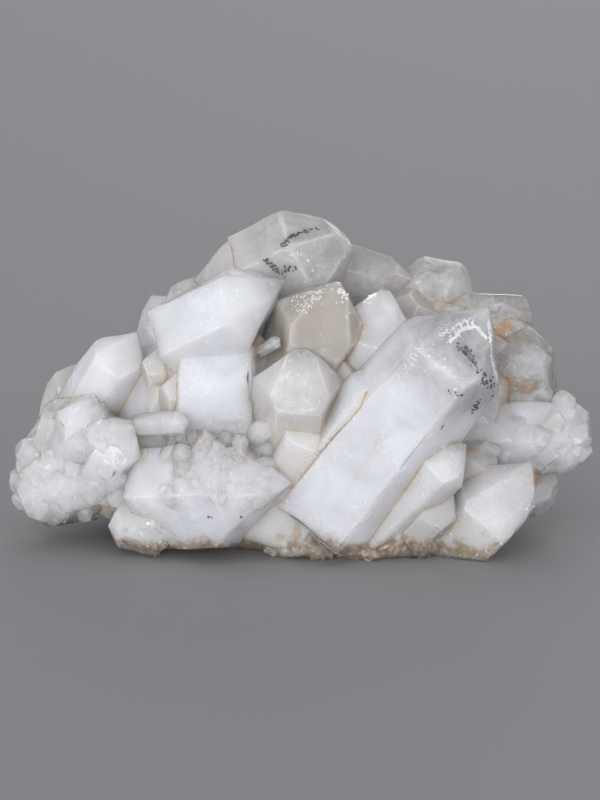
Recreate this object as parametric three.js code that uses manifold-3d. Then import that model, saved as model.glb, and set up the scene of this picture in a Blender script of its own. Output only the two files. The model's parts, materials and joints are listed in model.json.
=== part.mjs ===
// A hand-sized cluster of quartz points on a lump of rough quartz, grown together as one piece.
// Millimetres, +Z up, +X to the viewer's right, the viewer on the -Y side. The origin is on the
// surface that the cluster stands on, under the middle of its bounding box.
import * as THREE from "three";
import { ConvexGeometry } from "three/addons/geometries/ConvexGeometry.js";
import { mergeVertices } from "three/addons/utils/BufferGeometryUtils.js";
import Module from "manifold-3d";

const wasm = await Module();
wasm.setup();

// Quartz always has the same angles: six prism faces 60 degrees apart round the c axis, and six
// rhombohedron faces that close the point, whose normals stand 51.79 degrees from that axis.
const SIDES = 6;
const CAP_ANGLE = THREE.MathUtils.degToRad(51.79);

// One crystal a row, from the tip down to the root that is buried in the lump.
//   width  across opposite prism faces, at the foot of the point
//   turn   degrees round the axis; at 0 the first prism face looks towards the viewer
//   sides  how far each prism face stands from the axis, as a share of half the width
//   caps   how far each face of the point is set back from the tip, which makes it smaller
//   taper  degrees by which the prism faces lean in towards the point
//   cuts   broken faces: a normal, and how far beyond the tip the break lies, less than 0 below it
const PLAIN_CRYSTAL = { caps: [0, 2, 0, 2, 0, 2], sides: [1, 1, 1, 1, 1, 1], taper: 1.5, cuts: [] };
const FRONT_CRYSTALS = {
  mainPoint: { tip: [33, -25, 48], root: [4, -12, 7], width: 18, turn: -12,
    caps: [0, 3, 1.5, 3, 2, 1], sides: [0.92, 1, 1, 1, 1, 1.05], taper: 2.2 },
  mainPointTwin: { tip: [18.5, -22, 36.5], root: [-2.5, -11, 4], width: 12.5, turn: -12,
    caps: [0, 2, 3, 3, 2, 1], taper: 2 },
  underPoint: { tip: [29.5, -23, 23], root: [7, -10, -2], width: 9, turn: -15 },
  footPoint: { tip: [28, -20, 13.5], root: [14, -8, -4], width: 9, turn: 10 },
  topPoint: { tip: [10, 5, 59], root: [-9.5, 8, 48.5], width: 17, turn: 5,
    caps: [0, 2, 2, 2, 1, 0], cuts: [{ normal: [0.66, -0.1, 0.74], beyond: -2.6 }] },
  topPointTwin: { tip: [-4, 8, 58.5], root: [-19, 9, 41.5], width: 11, turn: 5,
    caps: [0, 2, 2, 2, 0, 0] },
  leaningPoint: { tip: [-4.5, -11, 49], root: [-24, -6.5, 38.5], width: 16, turn: 25,
    caps: [2.5, 0, 3, 4, 4, 3] },
  leaningSprout: { tip: [-20.5, 0, 51], root: [-25, 2, 40], width: 6, turn: 0 },
  whiteWall: { tip: [-16, -7, 50], root: [-16.5, -7, 14.5], width: 19, turn: 2,
    sides: [0.86, 1, 1, 1, 1, 1] },
  centreFace: { tip: [0, -20, 40], root: [-1.5, -10.5, 20.5], width: 14, turn: 2,
    caps: [0, 2.5, 2, 1, 2, 2.5] },
  centreFoot: { tip: [4, -18, 30], root: [-6, -12, 4], width: 12.5, turn: -5,
    caps: [0, 2, 2, 2, 2, 2], sides: [0.9, 1, 1, 1, 1, 1] },
  clearFace: { tip: [6.5, -14, 51], root: [-1, -1, 30], width: 16, turn: 0,
    caps: [0, 2.5, 2, 2, 2, 2.5] },
  narrowPoint: { tip: [15, -9, 48], root: [10, -6, 19.5], width: 13.5, turn: -15,
    caps: [0, 3, 3, 3, 3, 3], sides: [0.9, 1, 1, 1, 1, 1] },
  paleSprout: { tip: [15, -20, 34.5], root: [8.5, -12, 23], width: 4.2, turn: 0 },
  leftPoint: { tip: [-31.5, -5, 40], root: [-50, 1, 12], width: 10.5, turn: -12,
    caps: [0, 3, 1.5, 3, 2, 1] },
  leftStub: { tip: [-38.5, -13, 29], root: [-46.5, -2, 11.5], width: 11, turn: 10,
    caps: [0, 2, 1, 3, 2, 2] },
  leftFoot: { tip: [-32, -15, 24.5], root: [-41, -6, 8.5], width: 9, turn: -10,
    caps: [0, 2, 1, 3, 2, 2] },
  leftEdge: { tip: [-44, 6, 32.5], root: [-47.5, 4, 18.5], width: 7.5, turn: 0 },
  lyingSprout: { tip: [-21, -21, 27], root: [-30.5, -12, 24.5], width: 3.2, turn: 0,
    caps: [0, 0.5, 0, 0.5, 0, 0.5] },
  lyingPoint: { tip: [-3.5, -24, 15.5], root: [-28, -10, 11], width: 16, turn: 18,
    caps: [1, 0, 2, 3, 2, 0], sides: [1, 1.3, 1, 1, 1, 1] },
  rightBlock: { tip: [59, 3, 19], root: [28, 0, 19.5], width: 13.5, turn: 24,
    caps: [0, 0, 2, 3, 2, 0], cuts: [{ normal: [1, -0.15, 0.12], beyond: -3.2 }] },
  rightFoot: { tip: [42, -16.5, 17], root: [26, -5.5, -7.5], width: 16.5, turn: -12,
    caps: [0, 3, 1.5, 3, 2, 1],
    cuts: [{ normal: [0.97, 0, -0.23], beyond: 3 }, { normal: [0.73, 0, -0.69], beyond: 6 }] },
  topBridge: { tip: [23.5, 10, 46], root: [9, 14, 48.5], width: 11, turn: 10 },
  topRightBar: { tip: [48, 12, 41], root: [27, 8, 41.5], width: 9, turn: 15,
    caps: [0, 1, 2, 2, 1, 0], cuts: [{ normal: [1, 0, 0.2], beyond: -2.5 }] },
  stainedPoint: { tip: [42, 7, 42.5], root: [43.5, 4, 16], width: 12, turn: 8,
    caps: [0, 0, 2, 3, 2, 1] },
  clearStub: { tip: [-27, -8, 39], root: [-25, -4, 20], width: 7, turn: -10 },
  clearStubLow: { tip: [-23, -14, 35], root: [-23.5, -6, 18.5], width: 6, turn: 10 },
  whiteSprout: { tip: [-5.5, -20, 26.5], root: [-10, -12, 20.5], width: 4, turn: 0 },
  crustPointLeft: { tip: [-17.5, -20, 24.5], root: [-18, -9, 13], width: 5, turn: 10 },
  crustPointMiddle: { tip: [-11, -22, 22.5], root: [-14, -10, 11.5], width: 5.5, turn: 0 },
  crustPointRight: { tip: [-7, -22, 19], root: [-10, -10, 9], width: 5, turn: 10 },
};

// The same for the sides and the back, where the points stand freer.
const BACK_CRYSTALS = {
  backLeft: { tip: [-30, 20, 44], root: [-16.5, 8, 20], width: 13, turn: 10 },
  backTopLeft: { tip: [-9, 25, 49], root: [-4, 9.5, 19], width: 14, turn: 25,
    caps: [0, 2, 2, 0, 1, 2] },
  backTopRight: { tip: [12, 27, 41], root: [6, 9, 17.5], width: 12, turn: 0 },
  backRight: { tip: [31, 24, 42], root: [16.5, 9.5, 17.5], width: 13, turn: 15,
    caps: [0, 2, 1, 0, 2, 1] },
  farRight: { tip: [47, 20, 26], root: [26.5, 7, 17], width: 11, turn: 30 },
  farLeft: { tip: [-47, 15, 27], root: [-27.5, 3.5, 14], width: 12, turn: 0,
    caps: [2, 0, 1, 0, 2, 0] },
  backMiddle: { tip: [-1, 33, 25], root: [-1, 9, 15.5], width: 13, turn: 20,
    caps: [0, 1, 2, 0, 2, 1] },
  backLowRight: { tip: [24, 32, 18], root: [15, 8.5, 12.5], width: 12, turn: 45 },
  backLowLeft: { tip: [-24, 32, 16], root: [-15, 8.5, 10.5], width: 13, turn: 15 },
  cornerLeft: { tip: [-40, 24, 10], root: [-24.5, 6, 8], width: 10, turn: 0 },
  cornerRight: { tip: [41, 26, 9], root: [24, 9, 8], width: 10, turn: 20 },
  backFoot: { tip: [6, 31, 8], root: [4, 11, 8], width: 10, turn: 50 },
};

// Broken lumps of massive quartz that the crystals grew from: middle, half sizes, seed.
const LUMPS = {
  heart: { middle: [0, 2, 16], half: [36, 21, 18], seed: 1 },
  leftHeart: { middle: [-20, 3, 22], half: [19, 15, 17], seed: 2 },
  rightHeart: { middle: [22, 6, 22], half: [20, 13, 19], seed: 3 },
  leftKnob: { middle: [-44, 0, 12.5], half: [11, 10, 9.5], seed: 4 },
  topKnob: { middle: [26.5, 12, 45.5], half: [7, 8, 7], seed: 5 },
  frontKnob: { middle: [-29.5, -13, 5.5], half: [7, 7, 4.8], seed: 6 },
  rightKnob: { middle: [43.5, 3, 8.5], half: [7, 6, 5], seed: 7 },
  flake: { middle: [1, -13.5, 3], half: [9, 6, 3.6], seed: 8 },
  longFlake: { middle: [17, -13, 4], half: [12, 6, 4.4], seed: 9 },
  sole: { middle: [-2, -5, 5], half: [33, 11, 6], seed: 10 },
  shoulder: { middle: [-11, 8, 42], half: [12, 10, 9], seed: 12 },
  leftSole: { middle: [-43.5, -6, 11.5], half: [11, 9, 6], seed: 11 },
  leftFill: { middle: [-42, -5, 21], half: [9, 8, 8], seed: 14 },
  leftBridge: { middle: [-34.5, -6, 13], half: [5.5, 9, 9], seed: 13 },
  rightFill: { middle: [31.5, -8, 13], half: [6, 7, 8], seed: 17 },
  topRidge: { middle: [26, 9, 39.5], half: [9, 7, 7.5], seed: 18 },
  topRidgeEnd: { middle: [38, 10, 38], half: [8, 6.5, 6.5], seed: 19 },
  saddle: { middle: [19.5, 5, 38.5], half: [9, 7, 9], seed: 16 },
};
const LUMP_FACES = 18;
const LUMP_ROUGHNESS = 0.14; // how much a face's distance varies, as a share
const GOLDEN_ANGLE = 2.39996; // radians; spreads the faces evenly

// Patches of small points: middle, half spread, the way they lean, how many, mean width, seed.
const CRUSTS = {
  frontHollow: { middle: [-14, -20, 20], spread: [8.5, 1.5, 4.5], lean: [0.1, -0.6, 0.7],
    count: 20, width: 2.8, seed: 1 },
  leftSlope: { middle: [-40, -11, 20.5], spread: [8, 1.5, 5], lean: [0, -0.6, 0.7],
    count: 7, width: 4, seed: 2 },
  backRidge: { middle: [0, 24, 34], spread: [22, 2, 5], lean: [0, 0.7, 0.7],
    count: 12, width: 4, seed: 3 },
  backSole: { middle: [-8, 27, 9], spread: [26, 2, 5], lean: [0, 0.95, 0.3],
    count: 12, width: 4, seed: 4 },
};
const CRUST_SPLAY = 0.35; // how far the points of a patch lean apart
const CRUST_LENGTH = 2.6; // length of a small point, in widths
const CRUST_UNEVENNESS = 0.35; // how much the width varies, as a share

// Steps that keep the random draws of one lump or patch apart from those of the next.
const LUMP_STEP = 31;
const CRUST_STEP = 97;
const POINT_STEP = 7;

// How far, in millimetres, a corner may lie outside a plane and two corners may lie apart and
// still count as one, and how small the volume of three normals is when two are parallel.
const ON_PLANE = 1e-4;
const SAME_CORNER = 1e-3;
const PARALLEL = 1e-6;

// A repeatable number from 0 to 1 for each n.
function chance(n) {
  const x = Math.sin(n * 12.9898) * 43758.5453;
  return x - Math.floor(x);
}

// The convex solid inside all of the planes, each a unit normal and its distance from the origin.
function solidWithin(planes) {
  const corners = [];
  for (let i = 0; i < planes.length; i++) {
    for (let j = i + 1; j < planes.length; j++) {
      for (let k = j + 1; k < planes.length; k++) {
        const corner = meetingPoint(planes[i], planes[j], planes[k]);
        const inside = (plane) => plane.normal.dot(corner) < plane.distance + ON_PLANE;
        if (corner && planes.every(inside)) corners.push(corner);
      }
    }
  }
  const geometry = new ConvexGeometry(corners);
  geometry.deleteAttribute("normal");
  const merged = mergeVertices(geometry, SAME_CORNER);
  return new wasm.Manifold(
    new wasm.Mesh({
      numProp: 3,
      vertProperties: merged.attributes.position.array,
      triVerts: new Uint32Array(merged.index.array),
    }),
  );
}

// Where three planes cross, or null where two are parallel.
function meetingPoint(a, b, c) {
  const bc = b.normal.clone().cross(c.normal);
  const size = a.normal.dot(bc);
  if (Math.abs(size) < PARALLEL) return null;
  return bc
    .multiplyScalar(a.distance)
    .addScaledVector(c.normal.clone().cross(a.normal), b.distance)
    .addScaledVector(a.normal.clone().cross(b.normal), c.distance)
    .divideScalar(size);
}

// A plane through a point.
function planeAt(point, normal) {
  return { normal, distance: normal.dot(point) };
}

// One quartz point: six prism faces, six cap faces, the buried end and any broken faces.
function crystal(row) {
  const { tip, root, width, turn, caps, sides, taper, cuts } = { ...PLAIN_CRYSTAL, ...row };
  const top = new THREE.Vector3(...tip);
  const base = new THREE.Vector3(...root);
  const axis = top.clone().sub(base).normalize();
  const front = new THREE.Vector3(0, -1, 0).projectOnPlane(axis).normalize();
  const lean = THREE.MathUtils.degToRad(taper);
  const shoulder = top.clone().addScaledVector(axis, (-width / 2) * Math.tan(CAP_ANGLE));
  const planes = [planeAt(base, axis.clone().negate())];
  for (let k = 0; k < SIDES; k++) {
    const angle = THREE.MathUtils.degToRad(turn + (360 / SIDES) * k);
    const out = front.clone().applyAxisAngle(axis, angle);
    const wall = shoulder.clone().addScaledVector(out, (sides[k] * width) / 2);
    const face = out.clone().multiplyScalar(Math.cos(lean)).addScaledVector(axis, Math.sin(lean));
    planes.push(planeAt(wall, face));
    const cap = out.multiplyScalar(Math.sin(CAP_ANGLE)).addScaledVector(axis, Math.cos(CAP_ANGLE));
    planes.push(planeAt(top.clone().addScaledVector(axis, caps[k]), cap));
  }
  for (const { normal, beyond } of cuts) {
    const out = new THREE.Vector3(...normal).normalize();
    planes.push(planeAt(top.clone().addScaledVector(out, beyond), out));
  }
  return solidWithin(planes);
}

// A lump with flat broken faces, spread evenly over directions and set at uneven distances.
function lump({ middle, half, seed }) {
  const centre = new THREE.Vector3(...middle);
  const planes = [];
  for (let k = 0; k < LUMP_FACES; k++) {
    const height = 1 - (2 * k + 1) / LUMP_FACES;
    const angle = k * GOLDEN_ANGLE + seed;
    const flat = Math.sqrt(1 - height * height);
    const normal = new THREE.Vector3(flat * Math.cos(angle), flat * Math.sin(angle), height);
    const reach = new THREE.Vector3(...half).multiply(normal).length();
    const rough = 1 - LUMP_ROUGHNESS * chance(seed * LUMP_STEP + k);
    planes.push({ normal, distance: normal.dot(centre) + reach * rough });
  }
  return solidWithin(planes);
}

// A crust of small points scattered over a patch, all leaning roughly the same way.
function crust({ middle, spread, lean, count, width, seed }) {
  const centre = new THREE.Vector3(...middle);
  const out = new THREE.Vector3(...lean).normalize();
  const points = [];
  for (let i = 0; i < count; i++) {
    const draw = (n) => chance(seed * CRUST_STEP + i * POINT_STEP + n) * 2 - 1;
    const offset = new THREE.Vector3(draw(1), draw(2), draw(3));
    const tip = centre.clone().add(offset.multiply(new THREE.Vector3(...spread)));
    const splay = new THREE.Vector3(draw(4), draw(5), draw(6)).multiplyScalar(CRUST_SPLAY);
    const axis = out.clone().add(splay).normalize();
    const thick = width * (1 + CRUST_UNEVENNESS * draw(0));
    const root = tip.clone().addScaledVector(axis, -thick * CRUST_LENGTH);
    const turn = (360 / SIDES) * chance(seed + i);
    points.push(crystal({ tip: tip.toArray(), root: root.toArray(), width: thick, turn }));
  }
  return points;
}

// Everything above the surface that the cluster stands on, with the pockets closed that the
// crossing crystals enclose: those are separate shells, and the outer one is the largest.
function standingOnGround(solid) {
  const shells = solid.trimByPlane([0, 0, 1], 0).decompose();
  return shells.reduce((outer, shell) => (shell.volume() > outer.volume() ? shell : outer));
}

// Moved so that the middle of its bounding box is over the origin.
function centred(solid) {
  const { min, max } = solid.boundingBox();
  return solid.translate([-(min[0] + max[0]) / 2, -(min[1] + max[1]) / 2, 0]);
}

function geometryOf(solid) {
  const mesh = solid.getMesh();
  const geometry = new THREE.BufferGeometry();
  geometry.setAttribute("position", new THREE.BufferAttribute(mesh.vertProperties, mesh.numProp));
  geometry.setIndex(new THREE.BufferAttribute(mesh.triVerts, 1));
  return geometry;
}

const grown = [
  ...Object.values(LUMPS).map(lump),
  ...Object.values(FRONT_CRYSTALS).map(crystal),
  ...Object.values(BACK_CRYSTALS).map(crystal),
  ...Object.values(CRUSTS).flatMap(crust),
];
const joined = grown.reduce((whole, next) => whole.add(next));

const quartz = new THREE.MeshStandardMaterial({ color: 0xe4e3e6, roughness: 0.22, metalness: 0 });
quartz.flatShading = true;

const cluster = new THREE.Mesh(geometryOf(centred(standingOnGround(joined))), quartz);
cluster.name = "quartz_cluster";

const group = new THREE.Group();
group.add(cluster);

export default group;
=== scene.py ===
"""A cluster of milky quartz points with clear tips, rust in its seams, on a pale floor.

Every crystal is cut from a six-sided prism, face by face, and all are joined into one clear skin.
A milky body lies just under that skin and thins out towards the clear tips.
"""
import json
import math

import bmesh
import bpy
import numpy as np
from bpy.props import FloatProperty, FloatVectorProperty, PointerProperty
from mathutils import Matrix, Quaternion, Vector, noise

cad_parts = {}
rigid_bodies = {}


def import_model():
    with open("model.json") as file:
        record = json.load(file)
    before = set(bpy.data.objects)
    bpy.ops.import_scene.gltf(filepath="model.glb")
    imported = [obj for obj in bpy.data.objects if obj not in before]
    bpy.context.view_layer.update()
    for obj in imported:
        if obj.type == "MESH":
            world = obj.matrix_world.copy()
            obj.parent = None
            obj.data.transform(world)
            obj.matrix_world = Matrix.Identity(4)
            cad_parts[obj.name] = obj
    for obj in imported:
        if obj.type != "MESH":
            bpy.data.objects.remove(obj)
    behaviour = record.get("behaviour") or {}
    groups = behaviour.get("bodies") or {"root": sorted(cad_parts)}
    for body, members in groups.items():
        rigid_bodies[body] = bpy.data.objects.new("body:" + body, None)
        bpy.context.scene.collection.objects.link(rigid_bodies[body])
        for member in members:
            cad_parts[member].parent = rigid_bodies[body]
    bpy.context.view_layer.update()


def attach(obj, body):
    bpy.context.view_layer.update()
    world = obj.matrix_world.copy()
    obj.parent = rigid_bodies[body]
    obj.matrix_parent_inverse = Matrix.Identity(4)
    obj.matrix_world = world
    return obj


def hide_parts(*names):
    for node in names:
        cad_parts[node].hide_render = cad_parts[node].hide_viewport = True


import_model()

bl_info = {
    "name": "Quartz Cluster",
    "version": (1, 0, 0),
    "blender": (4, 5, 0),
    "location": "View3D > Sidebar > Quartz",
    "description": "Builds a cluster of milky quartz points with clear tips",
    "category": "Add Mesh",
}

BODY = "root"
NODE = "quartz_cluster"
MM = 0.001

# Quartz always has the same angles: six prism faces 60 degrees apart round the c axis, and six
# rhombohedron faces that close the point, whose normals stand 51.79 degrees from that axis.
SIDES = 6
CAP_ANGLE = math.radians(51.79)

# One crystal a row, in millimetres, from the tip down to the root that is buried in the lump.
#   width  across opposite prism faces, at the foot of the point
#   turn   degrees round the axis; at 0 the first prism face looks towards the viewer
#   sides  how far each prism face stands from the axis, as a share of half the width
#   caps   how far each face of the point is set back from the tip, which makes it smaller
#   taper  degrees by which the prism faces lean in towards the point
#   cuts   broken faces: a normal, and how far beyond the tip the break lies, less than 0 below it
#   milk   how far up from the root it is milky right under its faces, as a share of its length
#   heart  how far up its milky inside reaches
#   haze   how cloudy its clear part is, from 0 to 1
#   warm   how beige it is, from 0 to 1
#   grain  how broken and sparkling its surface is, from 0 to 1
#   frame  how wide the white borders of its clear faces are, from 1; the borders are partly painted highlight
PLAIN_CRYSTAL = dict(caps=(0, 2, 0, 2, 0, 2), sides=(1,) * 6, taper=1.5, cuts=(), milk=1.2, heart=0.9,
                     haze=0.3, warm=0.1, grain=0.08, frame=1)
CRYSTALS = dict(
    mainPoint=dict(tip=(33, -25, 48), root=(4, -12, 7), width=18, turn=-12, caps=(0, 3, 1.5, 3, 2, 1),
                   sides=(0.92, 1, 1, 1, 1, 1.05), taper=2.2, milk=0.7, heart=0.6, haze=0.45,
                   frame=6),
    mainPointTwin=dict(tip=(18.5, -22, 36.5), root=(-2.5, -11, 4), width=12.5, turn=-12,
                       caps=(0, 2, 3, 3, 2, 1), taper=2),
    underPoint=dict(tip=(29.5, -23, 23), root=(7, -10, -2), width=9, turn=-15, milk=0.95),
    footPoint=dict(tip=(28, -20, 13.5), root=(14, -8, -4), width=9, turn=10, warm=0.3, grain=0.4),
    topPoint=dict(tip=(10, 5, 59), root=(-9.5, 8, 48.5), width=17, turn=5, caps=(0, 2, 2, 2, 1, 0),
                  cuts=(((0.66, -0.1, 0.74), -2.6),), milk=0.12, heart=0.3, haze=0.58, warm=0.5,
                  frame=2.5),
    topPointTwin=dict(tip=(-4, 8, 58.5), root=(-19, 9, 41.5), width=11, turn=5,
                      caps=(0, 2, 2, 2, 0, 0), milk=0.8, haze=0.75, warm=0.6),
    leaningPoint=dict(tip=(-4.5, -11, 49), root=(-24, -6.5, 38.5), width=16, turn=25,
                      caps=(2.5, 0, 3, 4, 4, 3), milk=0.95, haze=0.45, frame=2),
    leaningSprout=dict(tip=(-20.5, 0, 51), root=(-25, 2, 40), width=6, turn=0, milk=0.6, haze=0.6, grain=0.4),
    whiteWall=dict(tip=(-16, -7, 50), root=(-16.5, -7, 14.5), width=19, turn=2,
                   sides=(0.86, 1, 1, 1, 1, 1)),
    centreFace=dict(tip=(0, -20, 40), root=(-1.5, -10.5, 20.5), width=14, turn=2,
                    caps=(0, 2.5, 2, 1, 2, 2.5), milk=0.95, warm=0.55),
    centreFoot=dict(tip=(4, -18, 30), root=(-6, -12, 4), width=12.5, turn=-5, caps=(0, 2, 2, 2, 2, 2),
                    sides=(0.9, 1, 1, 1, 1, 1)),
    clearFace=dict(tip=(6.5, -14, 51), root=(-1, -1, 30), width=16, turn=0,
                   caps=(0, 2.5, 2, 2, 2, 2.5), milk=0.35, heart=0.85, haze=0.8, warm=1, frame=3),
    narrowPoint=dict(tip=(15, -9, 48), root=(10, -6, 19.5), width=13.5, turn=-15, caps=(0, 3, 3, 3, 3, 3),
                     sides=(0.9, 1, 1, 1, 1, 1), milk=0.75, heart=0.85, haze=0.75,
                     warm=0.15),
    paleSprout=dict(tip=(15, -20, 34.5), root=(8.5, -12, 23), width=4.2, turn=0),
    leftPoint=dict(tip=(-31.5, -5, 40), root=(-50, 1, 12), width=10.5, turn=-12,
                   caps=(0, 3, 1.5, 3, 2, 1), milk=0.9, haze=0.8, grain=0.2, frame=3),
    leftStub=dict(tip=(-38.5, -13, 29), root=(-46.5, -2, 11.5), width=11, turn=10,
                  caps=(0, 2, 1, 3, 2, 2), milk=1, grain=0.5),
    leftFoot=dict(tip=(-32, -15, 24.5), root=(-41, -6, 8.5), width=9, turn=-10,
                  caps=(0, 2, 1, 3, 2, 2), milk=1.1, grain=0.5),
    leftEdge=dict(tip=(-44, 6, 32.5), root=(-47.5, 4, 18.5), width=7.5, turn=0, milk=0.5, haze=0.7,
                  warm=0.6, grain=0.3),
    lyingSprout=dict(tip=(-21, -21, 27), root=(-30.5, -12, 24.5), width=3.2, turn=0,
                     caps=(0, 0.5, 0, 0.5, 0, 0.5)),
    lyingPoint=dict(tip=(-3.5, -24, 15.5), root=(-28, -10, 11), width=16, turn=18,
                    caps=(1, 0, 2, 3, 2, 0), sides=(1, 1.3, 1, 1, 1, 1)),
    rightBlock=dict(tip=(59, 3, 19), root=(28, 0, 19.5), width=13.5, turn=24, caps=(0, 0, 2, 3, 2, 0),
                    cuts=(((1, -0.15, 0.12), -3.2),), grain=0.45),
    rightFoot=dict(tip=(42, -16.5, 17), root=(26, -5.5, -7.5), width=16.5, turn=-12,
                   caps=(0, 3, 1.5, 3, 2, 1),
                   cuts=(((0.97, 0, -0.23), 3), ((0.73, 0, -0.69), 6)), milk=0.75, haze=0.7,
                   warm=0.3, grain=0.15),
    topBridge=dict(tip=(23.5, 10, 46), root=(9, 14, 48.5), width=11, turn=10, milk=0.1, heart=0.5,
                   haze=0.4, warm=0.6),
    topRightBar=dict(tip=(48, 12, 41), root=(27, 8, 41.5), width=9, turn=15, caps=(0, 1, 2, 2, 1, 0),
                     cuts=(((1, 0, 0.2), -2.5),), milk=0.1, heart=0.4, haze=0.28, warm=0.4),
    stainedPoint=dict(tip=(42, 7, 42.5), root=(43.5, 4, 16), width=12, turn=8,
                      caps=(0, 0, 2, 3, 2, 1), milk=0.3, heart=0.5, haze=0.45, warm=0.6, grain=0.4),
    clearStub=dict(tip=(-27, -8, 39), root=(-25, -4, 20), width=7, turn=-10, milk=0.5, heart=0.8,
                   haze=0.8, warm=0.4, grain=0.3),
    clearStubLow=dict(tip=(-23, -14, 35), root=(-23.5, -6, 18.5), width=6, turn=10, milk=0.5, heart=0.8,
                      haze=0.8, warm=0.4, grain=0.3),
    whiteSprout=dict(tip=(-5.5, -20, 26.5), root=(-10, -12, 20.5), width=4, turn=0),
    crustPointLeft=dict(tip=(-17.5, -20, 24.5), root=(-18, -9, 13), width=5, turn=10, warm=0.3, grain=0.4),
    crustPointMiddle=dict(tip=(-11, -22, 22.5), root=(-14, -10, 11.5), width=5.5, turn=0, warm=0.3,
                          grain=0.4),
    crustPointRight=dict(tip=(-7, -22, 19), root=(-10, -10, 9), width=5, turn=10, warm=0.3, grain=0.4),
    whiteChip=dict(tip=(-4, -15.6, 41.4), root=(-8, -11, 38.2), width=2.3, turn=20, milk=2),
    backLeft=dict(tip=(-30, 20, 44), root=(-16.5, 8, 20), width=13, turn=10, milk=0.6, heart=0.55, haze=0.7),
    backTopLeft=dict(tip=(-9, 25, 49), root=(-4, 9.5, 19), width=14, turn=25,
                     caps=(0, 2, 2, 0, 1, 2), milk=0.65, heart=0.6),
    backTopRight=dict(tip=(12, 27, 41), root=(6, 9, 17.5), width=12, turn=0, milk=0.7, heart=0.7),
    backRight=dict(tip=(31, 24, 42), root=(16.5, 9.5, 17.5), width=13, turn=15,
                   caps=(0, 2, 1, 0, 2, 1), milk=0.6, heart=0.55),
    farRight=dict(tip=(47, 20, 26), root=(26.5, 7, 17), width=11, turn=30, milk=0.7, heart=0.65),
    farLeft=dict(tip=(-47, 15, 27), root=(-27.5, 3.5, 14), width=12, turn=0,
                 caps=(2, 0, 1, 0, 2, 0), milk=0.7, heart=0.65),
    backMiddle=dict(tip=(-1, 33, 25), root=(-1, 9, 15.5), width=13, turn=20,
                    caps=(0, 1, 2, 0, 2, 1), milk=0.65, heart=0.6),
    backLowRight=dict(tip=(24, 32, 18), root=(15, 8.5, 12.5), width=12, turn=45, milk=0.75),
    backLowLeft=dict(tip=(-24, 32, 16), root=(-15, 8.5, 10.5), width=13, turn=15, milk=0.8),
    cornerLeft=dict(tip=(-40, 24, 10), root=(-24.5, 6, 8), width=10, turn=0),
    cornerRight=dict(tip=(41, 26, 9), root=(24, 9, 8), width=10, turn=20),
    backFoot=dict(tip=(6, 31, 8), root=(4, 11, 8), width=10, turn=50),
)

# Broken lumps of massive quartz that the crystals grew from: middle, half sizes, seed.
LUMPS = dict(
    heart=dict(middle=(0, 2, 16), half=(36, 21, 18), seed=1),
    leftHeart=dict(middle=(-20, 3, 22), half=(19, 15, 17), seed=2),
    rightHeart=dict(middle=(22, 6, 22), half=(20, 13, 19), seed=3),
    leftKnob=dict(middle=(-44, 0, 12.5), half=(11, 10, 9.5), seed=4),
    topKnob=dict(middle=(26.5, 12, 45.5), half=(7, 8, 7), seed=5, milk=0.1, heart=0.4, haze=0.35, warm=0.3,
                 grain=0.12),
    frontKnob=dict(middle=(-29.5, -13, 5.5), half=(7, 7, 4.8), seed=6),
    rightKnob=dict(middle=(43.5, 3, 8.5), half=(7, 6, 5), seed=7, milk=0.1, heart=0.5, haze=0.7, warm=0.1,
                   grain=0.4),
    flake=dict(middle=(1, -13.5, 3), half=(9, 6, 3.6), seed=8, milk=0.3, heart=0.6, haze=0.6, grain=0.3),
    longFlake=dict(middle=(17, -13, 4), half=(12, 6, 4.4), seed=9),
    sole=dict(middle=(-2, -5, 5), half=(33, 11, 6), seed=10),
    shoulder=dict(middle=(-11, 8, 42), half=(12, 10, 9), seed=12),
    leftSole=dict(middle=(-43.5, -6, 11.5), half=(11, 9, 6), seed=11),
    leftFill=dict(middle=(-42, -5, 21), half=(9, 8, 8), seed=14),
    leftBridge=dict(middle=(-34.5, -6, 13), half=(5.5, 9, 9), seed=13, warm=0.5),
    rightFill=dict(middle=(31.5, -8, 13), half=(6, 7, 8), seed=17, warm=0.5),
    topRidge=dict(middle=(26, 9, 39.5), half=(9, 7, 7.5), seed=18, milk=0.3, heart=0.6, haze=0.5, warm=0.6,
                  grain=0.2),
    topRidgeEnd=dict(middle=(38, 10, 38), half=(8, 6.5, 6.5), seed=19, milk=0.3, heart=0.6, haze=0.5,
                     warm=0.5, grain=0.2),
    saddle=dict(middle=(19.5, 5, 38.5), half=(9, 7, 9), seed=16, milk=0.5, heart=0.7, haze=0.6, warm=0.7,
                grain=0.15),
)
LUMP_FACES = 18
LUMP_ROUGHNESS = 0.14
GOLDEN_ANGLE = 2.39996
PLAIN_LUMP = dict(milk=2, heart=2, haze=0.5, warm=0.25, grain=0.6, frame=1)

# Patches of small points: middle, half spread, the way they lean, how many, mean width, seed.
CRUSTS = dict(
    frontHollow=dict(middle=(-14, -20, 20), spread=(8.5, 1.5, 4.5), lean=(0.1, -0.6, 0.7), count=20,
                     width=2.8, seed=1),
    leftSlope=dict(middle=(-40, -11, 20.5), spread=(8, 1.5, 5), lean=(0, -0.6, 0.7), count=7,
                   width=4, seed=2),
    backRidge=dict(middle=(0, 24, 34), spread=(22, 2, 5), lean=(0, 0.7, 0.7), count=12, width=4, seed=3),
    backSole=dict(middle=(-8, 27, 9), spread=(26, 2, 5), lean=(0, 0.95, 0.3), count=12, width=4, seed=4),
)
CRUST_SPLAY = 0.35
CRUST_LENGTH = 2.6
CRUST_UNEVENNESS = 0.35

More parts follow.
